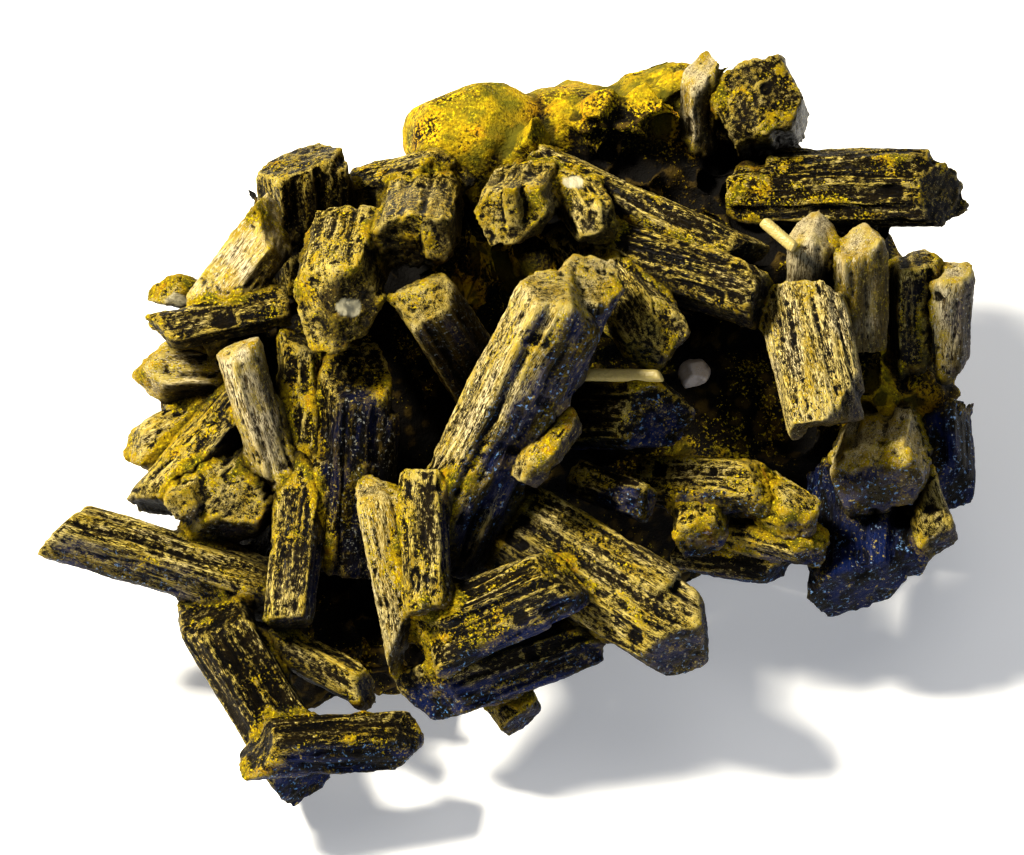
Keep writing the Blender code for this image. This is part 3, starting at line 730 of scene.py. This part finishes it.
def fibre_group():
    """Thin wandering fibres along the crystal. The more cover, the more of the surface they take."""
    tree, given, out = shader_group(
        "Wandering fibres",
        [
            ("Vector", "Vector", None),
            ("Width", "Float", 0.12 * MM),
            ("Length", "Float", 1.5 * MM),
            ("Cover", "Float", 0.5),
        ],
        [("Lines", "Float"), ("Height", "Float")],
    )
    grown = scaled_vector(tree, given["Vector"], given["Width"], given["Width"], given["Length"])
    height = tree.noise(grown, 1.0, 2.0, 0.55, 0.6)
    away = tree.math("ABSOLUTE", tree.math("SUBTRACT", height, 0.5))
    cover = tree.math("MAXIMUM", given["Cover"], 0.0)
    reach = tree.math("SUBTRACT", tree.math("MULTIPLY", cover, 0.125), 0.010)
    outer, inner = tree.math("ADD", reach, 0.012), tree.math("SUBTRACT", reach, 0.018)
    tree.join(tree.rise(away, outer, inner), out["Lines"])
    tree.join(tree.rise(away, 0.14, 0.0), out["Height"])
    return tree.tree


def crust_group():
    """Granular yellow crust: where it is thick enough to show, its colour and its grain."""
    tree, given, out = shader_group(
        "Yellow crust",
        [("Vector", "Vector", None), ("Amount", "Float", 0.5), ("Grain", "Float", 0.28 * MM)],
        [("Share", "Float"), ("Colour", "Color"), ("Height", "Float")],
    )
    grown = scaled_vector(tree, given["Vector"], given["Grain"], given["Grain"], given["Grain"])
    specks = tree.noise(grown, 1.0, 3.0, 0.7)
    hue = tree.noise(grown, 0.13, 3.0, 0.6)
    loose = tree.math("MULTIPLY", tree.math("SUBTRACT", specks, 0.5), 1.3)
    share = tree.rise(tree.math("ADD", given["Amount"], loose), 0.93, 1.01)
    colour = tree.blend(tree.rise(hue, 0.36, 0.60), "olive", "mustard")
    colour = tree.blend(tree.rise(hue, 0.58, 0.70), colour, "ochre")
    colour = tree.blend(tree.rise(specks, 0.54, 0.68), colour, "lemon")
    colour = tree.blend(tree.rise(specks, 0.46, 0.36), colour, "near_black")
    tree.join(share, out["Share"])
    tree.join(colour, out["Colour"])
    tree.join(specks, out["Height"])
    return tree.tree


def relief_group():
    """Crests and furrows, from the relief that a mesh stores, for painted highlight on the crests and painted
    shade in the furrows, and painted shade in its hollows.
    """
    tree, given, out = shader_group(
        "Crests and hollows",
        [("Fine", "Float", 0.5), ("Broad", "Float", 0.5), ("Crowding", "Float", 0.0)],
        [("Crest_light", "Float"), ("Furrow_shade", "Float"), ("Hollow_shade", "Float")],
    )
    fine_part = tree.math("MULTIPLY", given["Fine"], 0.7)
    both = tree.math("ADD", fine_part, tree.math("MULTIPLY", given["Broad"], 0.3))
    tree.join(tree.rise(both, 0.50, 0.78), out["Crest_light"])
    tree.join(tree.rise(both, 0.48, 0.20), out["Furrow_shade"])
    tree.join(tree.rise(given["Crowding"], 0.16, 0.46), out["Hollow_shade"])
    return tree.tree


def new_material(name):
    material = bpy.data.materials.new(name)
    material.use_nodes = True
    tree = Tree(material.node_tree)
    return material, tree, material.node_tree.nodes["Principled BSDF"]


def bump(tree, shader, height, strength, distance):
    made = tree.add("Bump")
    made.inputs["Strength"].default_value = strength
    made.inputs["Distance"].default_value = distance
    tree.join(height, made.inputs["Height"])
    tree.join(made.outputs["Normal"], shader.inputs["Normal"])


def stored_relief(tree, groups):
    return tree.use(
        groups["relief"],
        Fine=tree.stored("fine_relief"),
        Broad=tree.stored("broad_relief"),
        Crowding=tree.stored("hollow_shade"),
    )


def epidote_material(groups):
    """Near-black epidote with straw and cream fibres, partly painted highlight; painted shade, black or blue
    with painted glints, on the faces that look down and to the right; painted shade in furrows and hollows;
    and yellow crust.
    """
    material, tree, shader = new_material("fibrous_epidote")
    grown = tree.stored("grown", "Vector")
    relief = stored_relief(tree, groups)
    streaks = tree.noise(scaled_vector(tree, grown, 1.1 * MM, 1.1 * MM, 7.0 * MM), 1.0, 2.0, 0.6)
    specks = tree.noise(grown, 2600.0, 2.0, 0.6)
    drift = tree.rise(tree.math("ADD", streaks, specks), 0.72, 1.28, -0.36, 0.20)
    # Painted highlight and shade: more pale fibres on the crests, fewer in the furrows
    crest_light_furrow_shade = tree.math("SUBTRACT", relief["Crest_light"], relief["Furrow_shade"])
    crest_light_furrow_shade = tree.math("MULTIPLY", crest_light_furrow_shade, tree.rise(tree.stored("pale"), 0.0, 0.15, 0.15, 0.60))
    cover = tree.math("ADD", tree.math("ADD", tree.stored("pale"), drift), crest_light_furrow_shade)
    fine = tree.use(groups["fibres"], Vector=grown, Cover=tree.math("MULTIPLY", cover, 0.85))
    knots = tree.use(groups["fibres"], Vector=grown, Width=0.30 * MM, Length=0.6 * MM, Cover=cover)
    broad = tree.use(groups["fibres"], Vector=grown, Width=0.26 * MM, Length=3.6 * MM, Cover=cover)
    crust = tree.use(groups["crust"], Vector=grown, Amount=tree.stored("crust"))
    tone = tree.noise(scaled_vector(tree, grown, 2.0 * MM, 2.0 * MM, 6.0 * MM), 1.0, 4.0, 0.65)
    body = tree.blend(tree.rise(tone, 0.40, 0.62), "near_black", "umber")
    body = tree.blend(tree.math("MULTIPLY", broad["Lines"], 0.75), body, "bronze")
    body = tree.blend(tree.rise(tree.stored("pale"), 0.60, 1.0, 0.0, 0.4), body, "tan")
    # The fibres' straw and cream: partly the crystal's own paler colour, partly painted highlight
    paleness = tree.rise(tree.stored("pale"), 0.3, 0.9)
    whiteness = tree.math("ADD", tree.rise(tone, 0.40, 0.62, -0.2, 0.3), paleness)
    light = tree.blend(whiteness, "straw", "cream")
    body = tree.blend(tree.math("MULTIPLY", fine["Lines"], 0.9), body, light)
    dusted = tree.math("MULTIPLY", knots["Lines"], tree.rise(tree.stored("crust"), 0.50, 0.85))
    dust = tree.blend(tree.rise(tone, 0.4, 0.6), "mustard", "straw")
    body = tree.blend(tree.math("MULTIPLY", dusted, 0.9), body, dust)
    # Painted glints, and the painted shade of faces that look down and to the right: black, and blue with
    # painted blue light as cool rises
    painted_glint = tree.rise(tree.noise(grown, 2400.0, 3.0, 0.7), 0.59, 0.66)
    blue = tree.blend(tree.rise(tone, 0.42, 0.60), "near_black", "navy_blue_light")
    painted_glint_colour = tree.blend(tree.rise(tone, 0.50, 0.56), "blue_glint", "straw")
    blue = tree.blend(tree.math("MULTIPLY", painted_glint, 0.8), blue, painted_glint_colour)
    painted_shade = tree.blend(tree.math("MULTIPLY", broad["Lines"], 0.6), "near_black", "bronze")
    painted_shade = tree.blend(tree.math("MULTIPLY", painted_glint, 0.6), painted_shade, "straw")
    painted_shade = tree.blend(tree.stored("cool"), painted_shade, blue)
    body = tree.blend(tree.math("MULTIPLY", tree.stored("shaded"), 0.92), body, painted_shade)
    # Less crust shows where the shade is painted
    crusted = tree.math("MULTIPLY", crust["Share"], tree.rise(tree.stored("shaded"), 1.0, 0.3, 0.25, 1.0))
    colour = tree.blend(crusted, body, crust["Colour"])
    # Painted shade in the furrows
    colour = tree.blend(tree.math("MULTIPLY", relief["Furrow_shade"], 0.85), colour, "near_black")
    colour = tree.blend(tree.stored("chip"), colour, "chip")
    # Painted shade in the hollows
    colour = tree.blend(tree.math("MULTIPLY", relief["Hollow_shade"], 0.92), colour, "near_black")
    tree.join(colour, shader.inputs["Base Color"])
    tree.join(tree.rise(crusted, 0.0, 1.0, 0.45, 0.80), shader.inputs["Roughness"])
    height = tree.math("ADD", fine["Height"], tree.math("MULTIPLY", crust["Height"], crusted))
    bump(tree, shader, height, 1.0, 0.10 * MM)
    shader.inputs["Specular IOR Level"].default_value = 0.05
    return material


def rock_material(groups):
    """Granular matrix: yellow on its crown, brown and olive below, with painted highlight on its crests,
    painted shade in its furrows, and nearly black painted shade where it is shut in.
    """
    material, tree, shader = new_material("granular_matrix")
    grown = tree.stored("grown", "Vector")
    relief = stored_relief(tree, groups)
    crust = tree.use(groups["crust"], Vector=grown, Amount=tree.stored("crust"), Grain=0.34 * MM)
    tone = tree.noise(grown, 260.0, 4.0, 0.65)
    body = tree.blend(tree.rise(tone, 0.36, 0.60), "near_black", "umber")
    # Painted highlight on the rock's crests
    body = tree.blend(tree.math("MULTIPLY", relief["Crest_light"], 0.8), body, "bronze")
    stain = tree.rise(tree.noise(grown, 110.0, 3.0, 0.6), 0.50, 0.66, 0.0, 0.6)
    colour = tree.blend(crust["Share"], body, tree.blend(stain, crust["Colour"], "ochre"))
    fresh = tree.rise(tree.stored("crust"), 1.00, 1.25, 0.0, 0.8)
    bloom = tree.blend(tree.rise(tree.noise(grown, 1400.0, 4.0, 0.75), 0.48, 0.68), "mustard", "lemon")
    bloom = tree.blend(tree.rise(tone, 0.56, 0.42), bloom, "olive")
    colour = tree.blend(fresh, colour, bloom)
    # Painted shade in the furrows: near black, olive where the crust is fresh
    furrow_shade_colour = tree.blend(fresh, "near_black", "olive")
    colour = tree.blend(tree.math("MULTIPLY", relief["Furrow_shade"], 0.85), colour, furrow_shade_colour)
    # Painted shade where the rock is shut in, less where its crust is heavy
    shut_in = tree.math("MULTIPLY", relief["Hollow_shade"], tree.rise(tree.stored("crust"), 0.75, 1.05, 0.95, 0.25))
    colour = tree.blend(shut_in, colour, "near_black")
    tree.join(colour, shader.inputs["Base Color"])
    shader.inputs["Roughness"].default_value = 0.75
    shader.inputs["Specular IOR Level"].default_value = 0.05
    bump(tree, shader, crust["Height"], 0.9, 0.35 * MM)
    return material


def pale_material(name, colour, roughness, groups):
    """Smooth pale mineral with faint lines and yellow dust."""
    material, tree, shader = new_material(name)
    vector = tree.add("TexCoord").outputs["Object"]
    fine = tree.use(groups["fibres"], Vector=vector, Width=0.5 * MM, Length=0.8 * MM, Cover=0.3)
    dust = tree.use(groups["crust"], Vector=vector, Amount=0.7)
    shade = tree.blend(tree.math("MULTIPLY", fine["Lines"], 0.35), colour, "tan")
    shade = tree.blend(tree.math("MULTIPLY", dust["Share"], 0.3), shade, dust["Colour"])
    tree.join(shade, shader.inputs["Base Color"])
    shader.inputs["Roughness"].default_value = roughness
    bump(tree, shader, fine["Height"], 0.4, 0.1 * MM)
    return material


# ---------------------------------------------------------------- studio


def area_light(name, toward, distance, size, power, colour):
    """A soft square light that looks at the cluster from the direction toward."""
    lamp = bpy.data.lights.new(name, "AREA")
    lamp.shape = "SQUARE"
    lamp.size = size
    lamp.energy = power
    lamp.color = colour
    holder = bpy.data.objects.new(name, lamp)
    bpy.context.scene.collection.objects.link(holder)
    direction = Vector(toward).normalized()
    holder.location = Vector(AIM) + direction * distance
    holder.rotation_euler = direction.to_track_quat("Z", "Y").to_euler()


def studio():
    """A pale floor, a warm key from the back left, a cool fill from the front right, and the camera."""
    floor_mesh = bpy.data.meshes.new("floor")
    reach = 3.0
    corners = [(-reach, -reach, 0), (reach, -reach, 0), (reach, reach, 0), (-reach, reach, 0)]
    floor_mesh.from_pydata(corners, [], [(0, 1, 2, 3)])
    floor = bpy.data.objects.new("floor", floor_mesh)
    bpy.context.scene.collection.objects.link(floor)
    material, tree, shader = new_material("studio_paper")
    vector = tree.add("TexCoord").outputs["Object"]
    mottle = tree.math("MULTIPLY", tree.noise(vector, 40.0), 0.04)
    tree.join(tree.blend(mottle, "paper", "quartz"), shader.inputs["Base Color"])
    shader.inputs["Roughness"].default_value = 0.9
    shader.inputs["Emission Color"].default_value = (1, 1, 1, 1)
    shader.inputs["Emission Strength"].default_value = 0.30
    floor_mesh.materials.append(material)
    area_light("key", (-0.62, 0.10, 0.85), 0.60, 0.12, 13.8, (1.0, 0.94, 0.80))
    area_light("top", (0.1, 0.1, 1.0), 0.8, 0.6, 1.2, (1.0, 0.98, 0.94))
    area_light("fill", (0.8, -0.75, 0.20), 0.5, 0.25, 0.7, (0.40, 0.60, 1.0))
    world = bpy.data.worlds.new("studio")
    world.use_nodes = True
    world.node_tree.nodes["Background"].inputs["Color"].default_value = (1, 1, 1, 1)
    world.node_tree.nodes["Background"].inputs["Strength"].default_value = 0.08
    bpy.context.scene.world = world
    lens = bpy.data.cameras.new("camera")
    lens.sensor_width = 36
    lens.lens = lens.sensor_width * VIEW_DISTANCE / VIEW_WIDTH
    lens.clip_start = 0.05
    camera = bpy.data.objects.new("camera", lens)
    bpy.context.scene.collection.objects.link(camera)
    outward = Vector((0, -math.cos(FACE_LOOKS_UP), math.sin(FACE_LOOKS_UP)))
    camera.location = Vector(AIM) + outward * VIEW_DISTANCE
    camera.rotation_euler = outward.to_track_quat("Z", "Y").to_euler()
    bpy.context.scene.camera = camera
    bpy.context.scene.view_settings.view_transform = "Standard"


# ---------------------------------------------------------------- the whole cluster

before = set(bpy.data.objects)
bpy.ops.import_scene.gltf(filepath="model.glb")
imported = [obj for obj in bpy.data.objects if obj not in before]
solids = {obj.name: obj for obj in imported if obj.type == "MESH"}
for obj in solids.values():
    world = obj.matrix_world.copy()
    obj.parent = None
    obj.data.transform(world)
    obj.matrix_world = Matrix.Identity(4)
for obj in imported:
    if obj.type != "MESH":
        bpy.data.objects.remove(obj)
cad_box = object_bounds()
BOX_LOW, BOX_HIGH = (np.array(corner) for corner in cad_box)

groups = {"fibres": fibre_group(), "crust": crust_group(), "relief": relief_group()}
everything = search_tree(solids)
filled = filled_cells(everything)
room = {reach: blurred(filled, reach) for reach in LOOK_AHEAD}
epidote = epidote_material(groups)
for number, (name, look) in enumerate(sorted(LOOKS.items())):
    others = search_tree(solids, but=name)
    crystal = dress_crystal(name, solids[name], look, others, room, 100 + 20 * number)
    crystal.data.materials.append(epidote)

rock = dress_rock(solids[ROCK], everything, room, 7)
rock.data.materials.append(rock_material(groups))

ivory = pale_material("cream_lath", "ivory", 0.45, groups)
for number, name in enumerate(CREAM_LATHS):
    lath = dress_pale(name, solids[name], 0.10, 30 + number)
    lath.data.materials.append(ivory)
quartz = dress_pale(QUARTZ, solids[QUARTZ], 0.22, 40)
quartz.data.materials.append(pale_material("quartz", "quartz", 0.35, groups))

studio()
